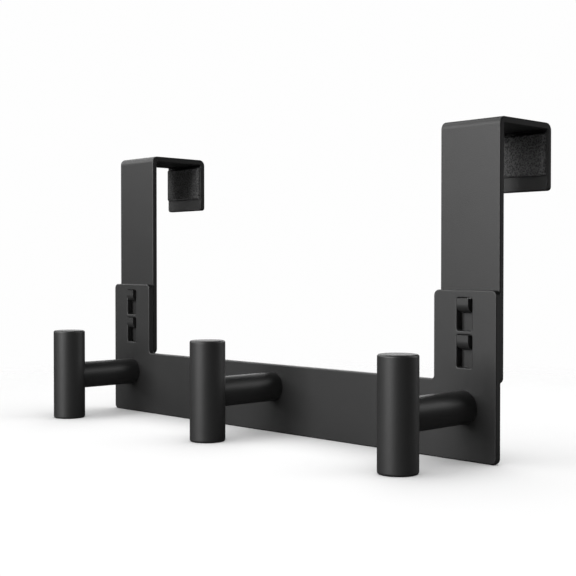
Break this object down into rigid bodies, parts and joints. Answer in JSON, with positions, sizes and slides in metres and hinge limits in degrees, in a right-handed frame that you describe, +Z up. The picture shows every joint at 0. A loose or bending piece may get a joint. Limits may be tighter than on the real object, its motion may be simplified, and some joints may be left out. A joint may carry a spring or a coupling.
{
  "type": "over door hook",
  "caption": "Matte black over door hook: a U-shaped rail plate with round pegs, hung on bent straps with padded lips.",
  "frame": {"origin": "centre of the bounding box's bottom, level with the rail's bottom edge and the feet of the pegs", "axes": "+X along the rail to the right, +Y back towards the door and the lips, +Z up"},
  "size_m": [0.32, 0.1093, 0.172],
  "materials": {
    "powder_coat": "matte black powder coat on steel",
    "lip_foam": "fine closed-cell foam, black",
    "black_screw": "blackened steel"
  },
  "bodies": {
    "root": {"rail_plate": "powder_coat", "left_door_strap": "powder_coat", "right_door_strap": "powder_coat", "left_lip_pad": "lip_foam", "right_lip_pad": "lip_foam", "left_peg_head": "powder_coat", "middle_peg_head": "powder_coat", "right_peg_head": "powder_coat", "left_peg_stem": "powder_coat", "middle_peg_stem": "powder_coat", "right_peg_stem": "powder_coat", "peg_screws": "black_screw"}
  },
  "joints": []
}
